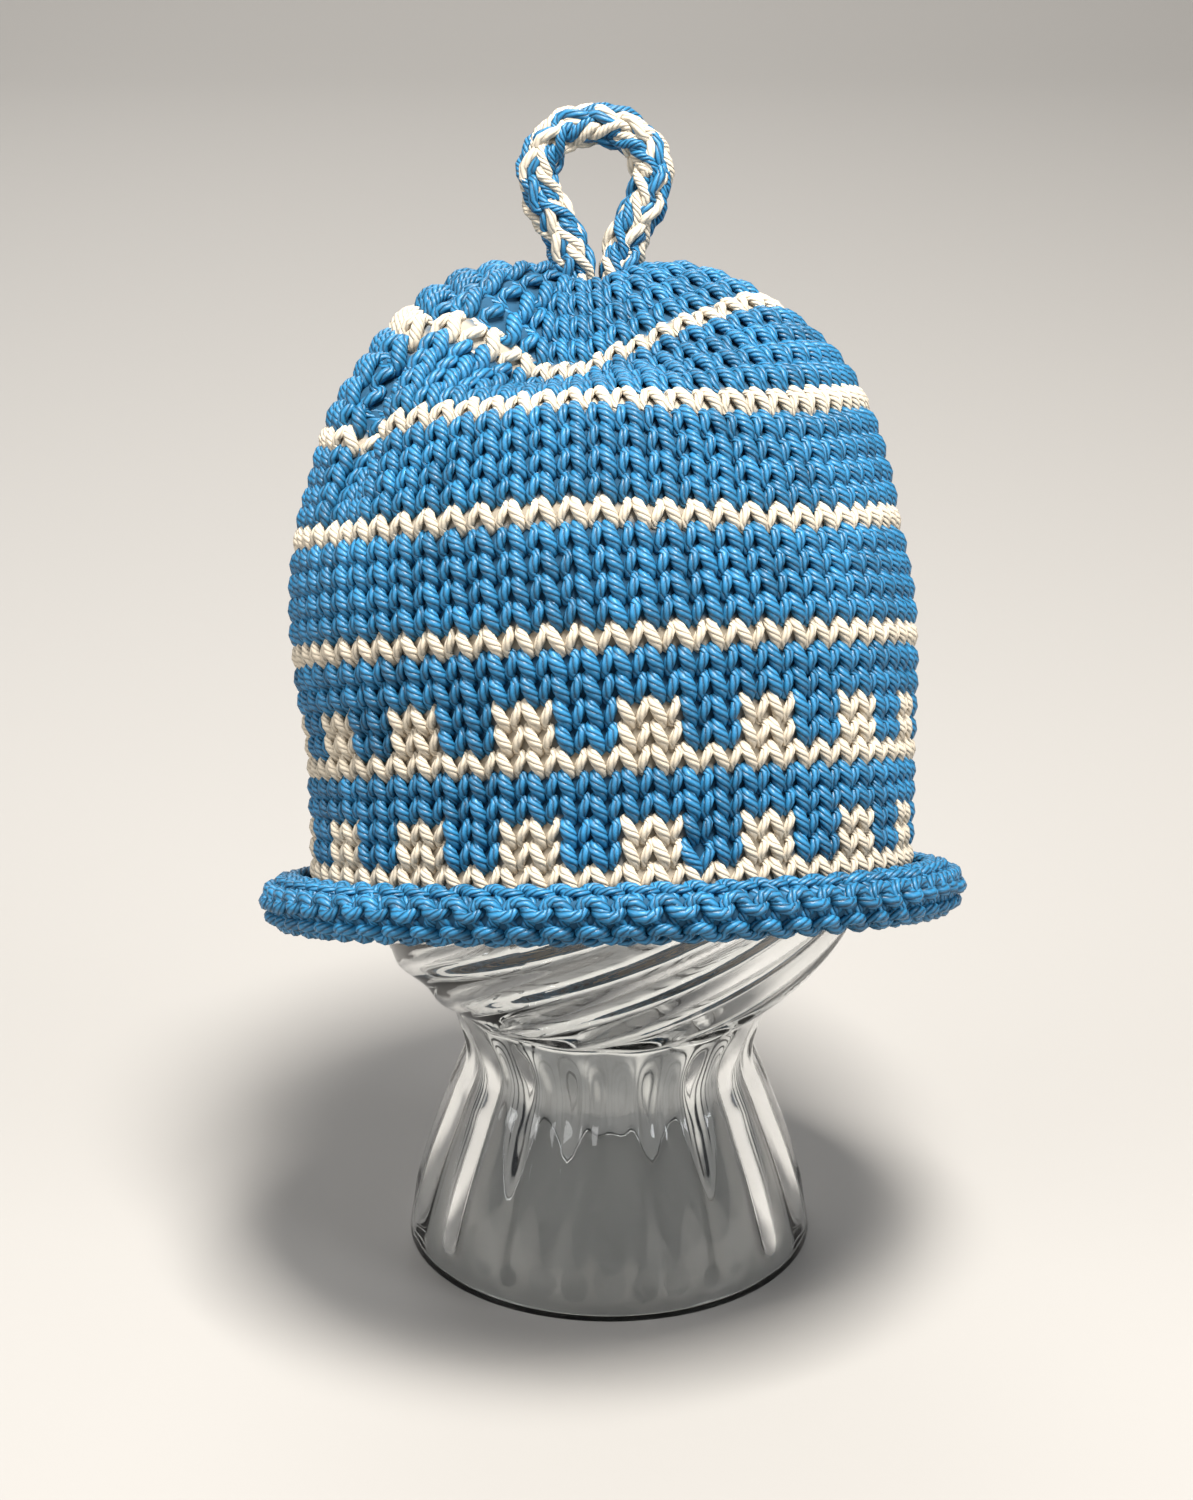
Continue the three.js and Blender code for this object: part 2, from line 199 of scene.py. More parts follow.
def fold_depth(degrees, at):
    """How far the folds move the wall, as in the solid: each is a hump across times a hump along."""
    from_middle = (WALL_LENGTH - at) / BODY_RADIUS
    depth = np.zeros(np.broadcast(degrees, at).shape)
    for where, left, right, flat, near, deepest, far, deep in FOLDS:
        away = (degrees - where + 180) % 360 - 180
        aside = np.abs(away) / np.where(away < 0, left, right)
        along = np.where(from_middle < deepest, smooth(from_middle, near, deepest),
                         1 - smooth(from_middle, deepest, far))
        depth += deep * BODY_RADIUS * (1 - smooth(aside, flat, 1)) * along * (at > 0)
    return depth


def fabric(degrees, at):
    """A point of the middle of the fabric, at an angle and a distance along its section."""
    r, z, tr, tz, lean, tilt = (np.interp(at, section_at, column) for column in profile.T)
    depth = fold_depth(degrees, at)
    r = np.maximum(r + depth * tz, 0)
    x, y = r * np.sin(np.radians(degrees)), -r * np.cos(np.radians(degrees))
    brim = (BRIM_LIFT + y * np.tan(BRIM_DIP)) * (1 - smooth(z, ROLL_HEIGHT, BRIM_EASE))
    return np.stack([x + lean, y, z - depth * tr + x * tilt + brim], axis=-1)


def unit(v):
    """Vectors of length one."""
    return v / np.maximum(np.linalg.norm(v, axis=-1, keepdims=True), 1e-9)


def fabric_frame(degrees, at):
    """Points of the fabric, its normals on the knit side, and its stretch around and along.

    They come from neighbours on the surface: millimetres for a degree, and for a millimetre.
    """
    turn, step = 1.5, 0.7
    up = fabric(degrees, np.minimum(at + step, WALL_LENGTH)) - fabric(degrees, at - step)
    round_ = fabric(degrees + turn, at) - fabric(degrees - turn, at)
    wide, long_ = np.linalg.norm(round_, axis=-1) / turn / 2, np.linalg.norm(up, axis=-1) / step / 2
    return fabric(degrees, at), unit(np.cross(round_, up)), wide, long_


def in_row_frame(points):
    """Places points of the hat, in millimetres, where the hat leans on its stand, in metres."""
    x, y, z = np.moveaxis(np.asarray(points, float), -1, 0)
    z = z - BULB_IN_HAT
    x, z = x * np.cos(HAT_ROLL) - z * np.sin(HAT_ROLL), z * np.cos(HAT_ROLL) + x * np.sin(HAT_ROLL)
    back = y * np.cos(HAT_LEAN) + z * np.sin(HAT_LEAN)
    up = z * np.cos(HAT_LEAN) - y * np.sin(HAT_LEAN) + BULB_HEIGHT
    return np.stack([x * MM + STAND_X, back * MM + STAND_Y, up * MM], axis=-1)


def make_mesh(name, vertices, quads, uv=None, values=None, triangles=None):
    """A smooth mesh object from arrays: metres, quads, UVs for each corner, values for each vertex."""
    mesh = bpy.data.meshes.new(name)
    faces = quads.tolist() + ([] if triangles is None else triangles.tolist())
    mesh.from_pydata(vertices.tolist(), [], faces)
    mesh.polygons.foreach_set("use_smooth", np.ones(len(mesh.polygons), bool))
    if uv is not None:
        layer = mesh.uv_layers.new(name="yarn")
        layer.data.foreach_set("uv", np.ascontiguousarray(uv, np.float32).ravel())
    for key, value in (values or {}).items():
        attribute = mesh.attributes.new(key, "FLOAT", "POINT")
        attribute.data.foreach_set("value", np.ascontiguousarray(value, np.float32))
    mesh.update()
    thing = bpy.data.objects.new(name, mesh)
    bpy.context.collection.objects.link(thing)
    return thing


class Yarns:
    """Collects yarn tubes for one mesh: each is a path, its thickness across and deep, and its twist."""

    def __init__(self):
        self.count = 0
        self.vertices, self.quads, self.caps, self.uv, self.cap_uv, self.tone = [], [], [], [], [], []

    def add(self, path, normal, across, deep, twist, tone, closed):
        """A tube: each ring is an ellipse in the plane across the path, turned to the fabric's normal."""
        count = len(path)
        if closed:
            along = unit(np.roll(path, -1, axis=0) - np.roll(path, 1, axis=0))
        else:
            along = unit(np.gradient(path, axis=0))
        side = unit(np.cross(along, normal))
        out = np.cross(side, along)
        angle = np.arange(SIDES) * TURN / SIDES
        ring = (side[:, None] * (np.cos(angle)[:, None] * across[:, None, None])
                + out[:, None] * (np.sin(angle)[:, None] * deep[:, None, None]))
        self.vertices.append((path[:, None] + ring).reshape(-1, 3))
        spans = count if closed else count - 1
        i, j = (a.ravel() for a in np.meshgrid(np.arange(spans), np.arange(SIDES), indexing="ij"))
        nexti, nextj = (i + 1) % count, (j + 1) % SIDES
        corners = np.stack([i * SIDES + j, nexti * SIDES + j,
                            nexti * SIDES + nextj, i * SIDES + nextj], axis=1)
        self.quads.append(corners + self.count)
        u = np.stack([twist[i], twist[i + 1], twist[i + 1], twist[i]], axis=1)
        v = np.stack([j, j, j + 1, j + 1], axis=1) / SIDES
        self.uv.append(np.stack([u, v], axis=-1).reshape(-1, 2))
        if not closed:
            first = np.arange(SIDES) + self.count
            last = first + (count - 1) * SIDES
            self.caps += [first, last[::-1]]
            self.cap_uv.append(np.zeros((2 * SIDES, 2)))
        self.tone.append(np.repeat(tone, SIDES))
        self.count += count * SIDES

    def build(self, name):
        """Writes the collected tubes into one mesh object, placed where the hat leans."""
        quads = np.vstack(self.quads)
        caps = np.array(self.caps) if self.caps else None
        uv = np.vstack(self.uv + self.cap_uv)
        vertices = in_row_frame(np.vstack(self.vertices))
        return make_mesh(name, vertices, quads, uv, {"tone": np.concatenate(self.tone)}, caps)


def twist_along(path, phase):
    """The turn of the plies along a yarn: quicker on a loop's left leg, slower on its right one."""
    step = np.concatenate([[0], np.linalg.norm(np.diff(path, axis=0), axis=1)])
    rate = (PLIES_QUICK + PLIES_SLOW) / 2 - (PLIES_QUICK - PLIES_SLOW) / 2 * np.sin(phase)
    return -np.cumsum(step * rate)


def sag(degrees, row):
    """How far a row has slipped along the wall at an angle: humps across times humps along."""
    slip = np.zeros(np.broadcast(degrees, row).shape)
    for where, aside, at_row, rows, amount in SAGS:
        away = np.abs((degrees - where + 180) % 360 - 180) / aside
        slip += amount * (1 - smooth(away, 0, 1)) * (1 - smooth(np.abs(row - at_row) / rows, 0, 1))
    return slip


def course(yarns, feet, heads, row, middle, height, columns, closed, knit):
    """One row's yarn over the fabric.

    For a phase p from -pi to pi along each stitch, the yarn's height is the cosine of p less a
    little of the sine of 2p, which draws out the left leg. Its sideways swing is the sine of 2p,
    which spreads the legs into a V. Its depth is minus the cosine of 2p, which brings the legs
    forward and takes the top and bottom of the loop back; the left leg and the upper halves of both
    come a little further forward. The yarn is thick where its stitch is large, thins at the loop's
    ends and is fuller on the left leg. feet and heads are the stitches' angles at the row's foot
    and top.
    """
    radius, (reach, splay, skew, taper) = knit
    chosen = np.asarray(columns)
    phase = np.tile(np.linspace(-np.pi, np.pi, STEPS, endpoint=False), len(chosen))
    stitch = np.repeat(chosen, STEPS)
    if not closed:
        phase, stitch = np.append(phase, np.pi), np.append(stitch, chosen[-1])
    whole = len(feet)

    def gap(places, which, step):
        other = places[(which + step) % whole]
        return (step * (other - places[which])) % 360

    rise = (1 + np.cos(phase)) / 2
    swing = phase / TURN + splay * np.sin(2 * phase)
    low_gap = np.where(phase < 0, gap(feet, stitch, -1), gap(feet, stitch, 1))
    high_gap = np.where(phase < 0, gap(heads, stitch, -1), gap(heads, stitch, 1))
    foot, head = feet[stitch], heads[stitch]
    shift = (head - foot + 180) % 360 - 180
    slack = (stitch == LOOSE[1]) * (row == LOOSE[0])
    swing = swing + slack * LOOSE_SPREAD * np.sin(2 * phase)
    pitch = low_gap + (high_gap - low_gap) * rise
    degrees = foot + shift * rise + swing * pitch
    nudge = dice.normal(0, 1, (whole, 3))[stitch]
    calm = np.sin(phase / 2 + np.pi / 2) ** 2
    at = middle + height * (reach * np.cos(phase) - skew * np.sin(2 * phase)) + WANDER * nudge[:, 0] * calm
    at = at + sag(degrees, row) - slack * (LOOSE_DROP - LOOSE_LIFT * rise)
    at = np.minimum(at, WALL_LENGTH - YARN_SHORT)
    degrees = degrees + WANDER * nudge[:, 1] * calm
    point, normal, wide, long_ = fabric_frame(degrees, at)
    left = -np.sin(phase)
    leg = np.abs(left)
    deep = -DEPTH * np.cos(2 * phase) + (LEFT_FORWARD * left + HEAD_FORWARD * np.cos(phase) * leg) * leg
    path = point + normal * deep[:, None]
    size = np.sqrt(np.clip(wide * pitch * long_ * height / (STITCH * ROW), *SIZE_LIMITS))
    half = STEPS // 2
    around = np.pad(size, half, "wrap" if closed else "edge")
    swell = np.convolve(around, np.full(STEPS, 1 / STEPS), "same")[half:half + len(size)]
    full = FULLNESS + LEFT_FULLER * left - taper * np.cos(phase) ** 2 + UNEVEN_WIDTH * nudge[:, 2] * calm
    across = radius * swell * full
    yarns.add(path, normal, across, across * (FLATNESS - LEFT_FLATTER * left),
              twist_along(np.vstack([path, path[:1]]) if closed else path,
                          np.append(phase, phase[0]) if closed else phase),
              MIDDLE_TONE + UNEVEN_TONE * nudge[:, 2], closed)


def regular(count, at):
    """The angles of a row's stitches, evenly around, as the columns drift with height."""
    pitch = 360 / count
    return (BLOCK_AT + COLUMN_DRIFT * (at - DRIFT_FROM) + (np.arange(count) - 0.5) * pitch) % 360


def narrowed(before, count):
    """A narrower row's angles over a wider one: in each eighth, evenly from its first to its last."""
    wide = len(before) // NARROWINGS
    slim = count // NARROWINGS
    if wide == slim:
        return before
    places = []
    for eighth in range(NARROWINGS):
        part = before[eighth * wide:(eighth + 1) * wide]
        part = part[0] + (part - part[0]) % 360
        index = np.linspace(0, wide - 1, slim) if slim > 1 else np.array([(wide - 1) / 2])
        places.append(np.interp(index, np.arange(wide), part))
    return np.concatenate(places) % 360


row_at = LOWEST_CREAM - ROLL_HEIGHT + ROW * np.arange(BODY_ROWS)
last_row = BODY_ROWS + len(CROWN_COUNTS) - 1
crown_at = np.interp(
    np.arange(BODY_ROWS, last_row + 1), [BODY_ROWS - 1, BODY_ROWS + CREAM_CROWN_ROW, last_row],
    [row_at[-1], row_at[-1] + CROWN_ROW * STRIPE_EVERY, WALL_LENGTH - LAST_ROW_SHORT])


def is_cream(column):
    """Two cream stitches, then two blue ones."""
    return column % 4 < 2


def knit_body():
    """The rows of the body: cream stripes, checks of two by two, and blue between them."""
    lower, upper, cream = Yarns(), Yarns(), Yarns()
    everyone = np.arange(STITCHES)
    for k, middle in enumerate(row_at):
        feet, heads = regular(STITCHES, middle - ROW), regular(STITCHES, middle + ROW)
        blue = lower if k < UPPER_FROM else upper
        if k in CHECK_ROWS:
            for start in range(0, STITCHES, 2):
                yarns, knit = (cream, CREAM_KNIT) if is_cream(start) else (blue, BLUE_KNIT)
                course(yarns, feet, heads, k, middle, ROW, [start, start + 1], False, knit)
        else:
            yarns, knit = (cream, CREAM_KNIT) if k % STRIPE_EVERY == 0 else (blue, BLUE_KNIT)
            course(yarns, feet, heads, k, middle, ROW, everyone, True, knit)
    return lower, upper, cream


def knit_crown(cream):
    """The rows of the crown, narrowing to the middle in eight parts."""
    blue = Yarns()
    before = regular(STITCHES, row_at[-1])
    height = crown_at[1] - crown_at[0]
    for k, (middle, count) in enumerate(zip(crown_at, CROWN_COUNTS)):
        feet = narrowed(before, count)
        heads = regular(count, middle)
        heads = (heads + feet[0] - heads[0]) % 360
        yarns, knit = (cream, CREAM_KNIT) if k == CREAM_CROWN_ROW else (blue, BLUE_KNIT)
        course(yarns, feet, heads, BODY_ROWS + k, middle, height, np.arange(count), True, knit)
        before = heads
    return blue


def knit_roll():
    """The rows below the body, wound into the roll with their back side out."""
    yarns = Yarns()
    rows = int((ROLL_LENGTH + row_at[0]) / ROLL_ROW)
    for k in range(1, rows + 1):
        middle = row_at[0] - ROLL_ROW * k
        places = regular(STITCHES, middle)
        course(yarns, places, places, -k, middle, ROLL_ROW, np.arange(STITCHES), True, ROLL_KNIT)
    return yarns


CORE_RINGS = 110
CORE_SHORT = (1.5, 2.0)  # how far the core stops short of the hem and of the crown's middle
CORE_SHIFT = 0.7  # how far it lies towards the knit side in the roll
CORE_SHIFT_FADES = (-6, 2)  # distances along the section between which that shift goes
CORE_FRONT, CORE_BACK = 0.05, 0.45  # how far its two sides lie behind the middle of the fabric


def fabric_core():
    """A thin closed sheet inside the fabric, so that no light shows between the loops.

    It is a grid of angles and distances along the section, once in front and once behind, joined at
    the hem and at the middle of the crown. Its shade follows the chart.
    """
    angles = np.arange(STITCHES * 2) * 360 / (STITCHES * 2)
    at = np.linspace(-ROLL_LENGTH + CORE_SHORT[0], WALL_LENGTH - CORE_SHORT[1], CORE_RINGS)
    degrees, along = np.meshgrid(angles, at, indexing="xy")
    point, normal, _, _ = fabric_frame(degrees, along)
    inward = CORE_SHIFT * (1 - smooth(along, *CORE_SHIFT_FADES))[..., None]
    front, back = point + (inward - CORE_FRONT) * normal, point + (inward - CORE_BACK) * normal
    layers = np.concatenate([back[::-1], front])
    count, around = len(layers), len(angles)
    i, j = (a.ravel() for a in np.meshgrid(np.arange(count - 1), np.arange(around), indexing="ij"))
    k = (j + 1) % around
    quads = np.stack([i * around + j, i * around + k, (i + 1) * around + k, (i + 1) * around + j], axis=1)
    last = (count - 1) * around
    # the back's first ring and the front's last ring are both at the crown's middle, closed by fans
    vertices = layers.reshape(-1, 3)
    tips = np.stack([layers[0].mean(axis=0), layers[-1].mean(axis=0)])
    j = np.arange(around)
    k = (j + 1) % around
    fans = np.vstack([np.stack([np.full(around, len(vertices)), k, j], axis=1),
                      np.stack([np.full(around, len(vertices) + 1), last + j, last + k], axis=1)])
    every_row = np.arange(BODY_ROWS + len(CROWN_COUNTS))
    near_row = np.interp(along, np.concatenate([row_at, crown_at]), every_row)
    row = np.round(near_row - sag(degrees, near_row) / ROW)
    row = np.where(along < row_at[0] - ROW / 2, -1, row)
    turned = degrees - BLOCK_AT - COLUMN_DRIFT * (along - DRIFT_FROM)
    column = np.floor(turned / (360 / STITCHES) + 1) % STITCHES
    cream = (row >= 0) & ((row % STRIPE_EVERY == 0) | (np.isin(row, CHECK_ROWS) & is_cream(column)))
    shade = np.concatenate([cream[::-1], cream]).reshape(-1).astype(float)
    vertices = np.vstack([vertices, tips])
    return make_mesh("fabric_core", in_row_frame(vertices), quads, None,
                     {"shade": np.append(shade, [0, 0])}, fans)


# The cord's middle line, from the foot of one leg to the top: across and up
LOOP_LINE = np.array([
    (0.4, 0.0), (0.4, 0.21), (0.6, 0.4), (0.9, 0.58), (0.99, 0.765), (0.66, 0.937), (0.0, 1.0),
])
LOOP_ROOT = 1.0  # how deep the cord's ends are drawn into the crown
CORD_ROWS = 15.6  # rows along the cord
CORD_WALES = 3  # columns of stitches around it
CORD_STEPS = 18  # points along one of its stitches
CORD_SPLAY, CORD_REACH = 0.3, 0.82  # how far its legs spread in stitches, and half its height in rows
CORD_FIRST = 0.4  # rows from the cord's end to the first stitch
CORD_ENDS = (0.004, 0.996)  # the share of the cord that its yarn keeps to
CORD_OUT, CORD_DEPTH = 2.45, 0.75  # the yarn's distance from the cord's middle, and how much it changes
CORD_WIND = 31.0  # length of yarn in which the two strands wind once around each other
STRAND = 1.04  # radius of one strand
STRANDS_APART = 0.98  # from the middle of the pair to each strand
STRANDS_FLATTER = 0.6  # how much of that they keep when one lies over the other


def cord_line():
    """The middle line of the loop's cord, over the crown's middle, with the distance along it."""
    half, rise = (LOOP_WIDTH - CORD) / 2, LOOP_HEIGHT - CORD / 2 + LOOP_ROOT
    flat = np.zeros(len(LOOP_LINE))
    leg = np.stack([LOOP_LINE[:, 0] * half, flat, LOOP_LINE[:, 1] * rise - LOOP_ROOT], axis=1)
    line = spline(np.vstack([leg, leg[-2::-1] * [-1, 1, 1]]))
    middle = fabric(np.array(0.0), np.array(WALL_LENGTH))
    return line + middle + [0, 0, WALL / 2], length_along(line)


def knit_cord():
    """The cord: loops in three columns around a round core, in one spiral, two strands held together."""
    line, along = cord_line()
    tangents = unit(np.gradient(line, axis=0))
    blue, cream = Yarns(), Yarns()
    total = int(CORD_ROWS * CORD_WALES)
    phase = np.append(np.tile(np.linspace(-np.pi, np.pi, CORD_STEPS, endpoint=False), total), np.pi)
    stitch = np.append(np.repeat(np.arange(total), CORD_STEPS), total - 1)
    swing = stitch + phase / TURN + CORD_SPLAY * np.sin(2 * phase)
    level = stitch / CORD_WALES + phase / TURN / CORD_WALES + CORD_REACH * np.cos(phase)
    distance = np.clip((level + CORD_FIRST) / CORD_ROWS, *CORD_ENDS) * along[-1]
    turn = np.radians(swing * 360 / CORD_WALES)
    middle = np.stack([np.interp(distance, along, c) for c in line.T], axis=1)
    forward = unit(np.stack([np.interp(distance, along, c) for c in tangents.T], axis=1))
    front = np.array([0.0, -1.0, 0.0])
    aside = np.cross(forward, front)
    outward = np.cos(turn)[:, None] * front + np.sin(turn)[:, None] * aside
    path = middle + outward * (CORD_OUT - CORD_DEPTH * np.cos(2 * phase))[:, None]
    across = unit(np.cross(unit(np.gradient(path, axis=0)), outward))
    wind = np.cumsum(np.linalg.norm(np.gradient(path, axis=0), axis=1)) / CORD_WIND * TURN
    apart = across * np.cos(wind)[:, None] + outward * np.sin(wind)[:, None] * STRANDS_FLATTER
    for yarns, shift in ((blue, -STRANDS_APART), (cream, STRANDS_APART)):
        strand = path + apart * shift
        radius = np.full(len(strand), STRAND)
        twist = twist_along(strand, phase)
        yarns.add(strand, outward, radius, radius, twist, np.full(len(strand), MIDDLE_TONE), False)
    return blue, cream


BULB_FROM = 1.15  # where the bulb's arc begins, in waist radii
BULB_POINTS, TOP_POINTS = 120, 12
NECK_POINTS = 9  # for each span of the foot and neck
TIP = 0.3  # radius of the smallest ring, which a fan closes


def glass_line():
    """The glass's outer outline: a flared foot, the waist, then an arc up to the flat top."""
    shoulder = BULB_FROM * WAIST_RADIUS
    lowest, highest = -np.arccos(shoulder / BULB_RADIUS), np.arccos(TOP_FLAT_RADIUS / BULB_RADIUS)
    angle = np.linspace(lowest, highest, BULB_POINTS)
    bulb = np.stack([BULB_RADIUS * np.cos(angle), BULB_HEIGHT + BULB_RADIUS * np.sin(angle)], axis=1)
    flare = np.array([(1.0, 0.0), (0.92, 0.14), (0.62, 0.45), (0.24, 0.76), (0.0, 1.0)])
    out = WAIST_RADIUS + flare[:, 0] * (FOOT_RADIUS - WAIST_RADIUS)
    foot = np.stack([out, flare[:, 1] * WAIST_HEIGHT], axis=1)
    neck = spline(np.vstack([foot, bulb[:1]]), NECK_POINTS)
    inwards = np.linspace(TOP_FLAT_RADIUS, TIP, TOP_POINTS)[1:]
    top = np.stack([inwards, np.full(len(inwards), bulb[-1, 1])], axis=1)
    return np.vstack([neck[:-1], bulb, top])


RIBS, SWIRLS = 18, 14  # waves around the foot and around the bulb
SWIRL = 0.6  # radians that the bulb's waves lean in each millimetre up
FOOT_WAVE, BULB_WAVE = 0.7, 0.6  # how far the waves stand out
FOOT_COMES, FOOT_GOES = (1, 9), (46, 56)  # heights between which the foot's wave grows and fades
BULB_COMES, BULB_GOES = (53, 60), (80, 120)  # and the bulb's
WAVE_FADES = 20  # radius inside which the waves fade
INSIDE_WAVE = 0.35  # the share of the waves that the inside has, the other way round
ROUND = 192  # points around the glass


def glass_vase():
    """The vase: its outline turned about its axis, outside and inside, with soft ribs.

    On the foot the outer radius swells and shrinks with the angle; on the bulb the same wave leans,
    so that its angle grows with height.
    """
    outline = glass_line()
    along = unit(np.gradient(outline, axis=0))
    inside = outline + np.stack([-along[:, 1], along[:, 0]], axis=1) * GLASS
    inside[0] = [outline[0, 0] - GLASS, 0]
    inside[-1, 0] = TIP
    angles = np.arange(ROUND) * TURN / ROUND
    height = outline[:, 1][:, None]
    on_foot = smooth(height, *FOOT_COMES) * (1 - smooth(height, *FOOT_GOES))
    on_bulb = smooth(height, *BULB_COMES) * (1 - smooth(height, *BULB_GOES))
    ribs = (FOOT_WAVE * on_foot * np.cos(RIBS * angles)
            + BULB_WAVE * on_bulb * np.cos(SWIRLS * angles - height * SWIRL))
    outer_r = outline[:, :1] + ribs * np.minimum(1, outline[:, :1] / WAVE_FADES)
    inner_r = inside[:, :1] - INSIDE_WAVE * ribs
    rings = [(outer_r, outline[:, 1]), (inner_r[::-1], inside[::-1, 1])]
    radius = np.concatenate([r for r, _ in rings])
    z = np.concatenate([np.repeat(h[:, None], len(angles), axis=1) for _, h in rings])
    vertices = np.stack([radius * np.sin(angles) * MM + STAND_X,
                         -radius * np.cos(angles) * MM + STAND_Y, z * MM], axis=-1)
    count, around = vertices.shape[:2]
    i, j = (a.ravel() for a in np.meshgrid(np.arange(count), np.arange(around), indexing="ij"))
    split = len(outline)
    keep = i != split - 1
    i, j = i[keep], j[keep]
    n, k = (i + 1) % count, (j + 1) % around
    quads = np.stack([i * around + j, i * around + k, n * around + k, n * around + j], axis=1)
    flat = vertices.reshape(-1, 3)
    tips = np.stack([vertices[split - 1].mean(axis=0), vertices[split].mean(axis=0)])
    j = np.arange(around)
    k = (j + 1) % around
    top, under = (split - 1) * around, split * around
    fans = np.vstack([np.stack([np.full(around, len(flat)), top + j, top + k], axis=1),
                      np.stack([np.full(around, len(flat) + 1), under + k, under + j], axis=1)])
    return make_mesh("vase", np.vstack([flat, tips]), quads, None, None, fans)


# Materials
BLUE = (0.010, 0.080, 0.158)
CREAM = (0.590, 0.510, 0.395)
CORE_BLUE_PAINTED_SHADE, CORE_CREAM_PAINTED_SHADE = 0.75, 0.6  # how bright the fabric behind the loops is beside them: their colour darkened as painted shade
PLY_COUNT = 5  # plies in the yarn
PLY_HEIGHT = 0.19  # millimetres
FIBRES = 0.25  # height of the fibres, as a share of a ply's
PAINTED_GROOVE_SHADE_POWER = 1.1  # how quickly the painted shade falls into a groove between plies


def new_group(name, inputs, outputs):
    """An empty shader node group with named sockets."""
    group = bpy.data.node_groups.new(name, "ShaderNodeTree")
    for socket, kind, value in inputs:
        made = group.interface.new_socket(socket, in_out="INPUT", socket_type=kind)
        made.default_value = value
    for socket, kind in outputs:
        group.interface.new_socket(socket, in_out="OUTPUT", socket_type=kind)
    return group, group.nodes.new("NodeGroupInput"), group.nodes.new("NodeGroupOutput")


def maths(tree, operation, a, b=None):
    """A Math node fed by sockets or numbers."""
    node = tree.nodes.new("ShaderNodeMath")
    node.operation = operation
    for slot_number, value in enumerate((a, b)):
        if value is None:
            continue
        if isinstance(value, (int, float)):
            node.inputs[slot_number].default_value = value
        else:
            tree.links.new(value, node.inputs[slot_number])
    return node.outputs[0]


def plies_group():
    """Plies twisted into a yarn: round strands side by side, running diagonally in the yarn's UV, with a
    mask for the painted shade in the grooves between them.
    """
    group, given, put = new_group(
        "twisted_plies",
        [("UV", "NodeSocketVector", (0, 0, 0)), ("Plies", "NodeSocketFloat", PLY_COUNT),
         ("Fuzz", "NodeSocketFloat", FIBRES)],
        [("Height", "NodeSocketFloat"), ("PaintedGrooveShade", "NodeSocketFloat")])
    split = group.nodes.new("ShaderNodeSeparateXYZ")
    group.links.new(given.outputs["UV"], split.inputs[0])
    turns = maths(group, "MULTIPLY", split.outputs["Y"], given.outputs["Plies"])
    place = maths(group, "FRACT", maths(group, "ADD", turns, split.outputs["X"]))
    offset = maths(group, "SUBTRACT", maths(group, "MULTIPLY", place, 2.0), 1.0)
    square = maths(group, "MULTIPLY", offset, offset)
    round_ = maths(group, "SUBTRACT", 1.0, square)
    coords = group.nodes.new("ShaderNodeTexCoord")
    fibres = group.nodes.new("ShaderNodeTexNoise")
    fibres.inputs["Scale"].default_value = 2600
    fibres.inputs["Detail"].default_value = 3
    group.links.new(coords.outputs["Object"], fibres.inputs["Vector"])
    fuzz = maths(group, "MULTIPLY", fibres.outputs["Fac"], given.outputs["Fuzz"])
    group.links.new(maths(group, "ADD", round_, fuzz), put.inputs["Height"])
    # mask for the painted shade: 1 in the grooves between plies, 0 in a ply's middle
    group.links.new(maths(group, "POWER", square, PAINTED_GROOVE_SHADE_POWER), put.inputs["PaintedGrooveShade"])
    return group


def tone_group():
    """Uneven dye: a slow drift over the hat, a tone for each stitch, and fine flecks."""
    group, given, put = new_group(
        "uneven_tone",
        [("Tone", "NodeSocketFloat", 0.5), ("Strength", "NodeSocketFloat", 0.3)],
        [("Factor", "NodeSocketFloat")])
    coords = group.nodes.new("ShaderNodeTexCoord")
    noises = []
    for scale, detail in ((38, 2), (900, 2)):
        noise = group.nodes.new("ShaderNodeTexNoise")
        noise.inputs["Scale"].default_value = scale
        noise.inputs["Detail"].default_value = detail
        group.links.new(coords.outputs["Object"], noise.inputs["Vector"])
        noises.append(maths(group, "SUBTRACT", noise.outputs["Fac"], 0.5))
    total = maths(group, "ADD", noises[0], maths(group, "MULTIPLY", noises[1], 0.6))
    total = maths(group, "ADD", total, maths(group, "SUBTRACT", given.outputs["Tone"], 0.5))
    total = maths(group, "ADD", maths(group, "MULTIPLY", total, given.outputs["Strength"]), 1.0)
    group.links.new(total, put.inputs["Factor"])
    return group


PLIES = plies_group()
TONE = tone_group()


def place_group(tree, group, **values):
    """A group node in a material, with its own numbers."""
    node = tree.nodes.new("ShaderNodeGroup")
    node.node_tree = group
    for key, value in values.items():
        node.inputs[key].default_value = value
    return node


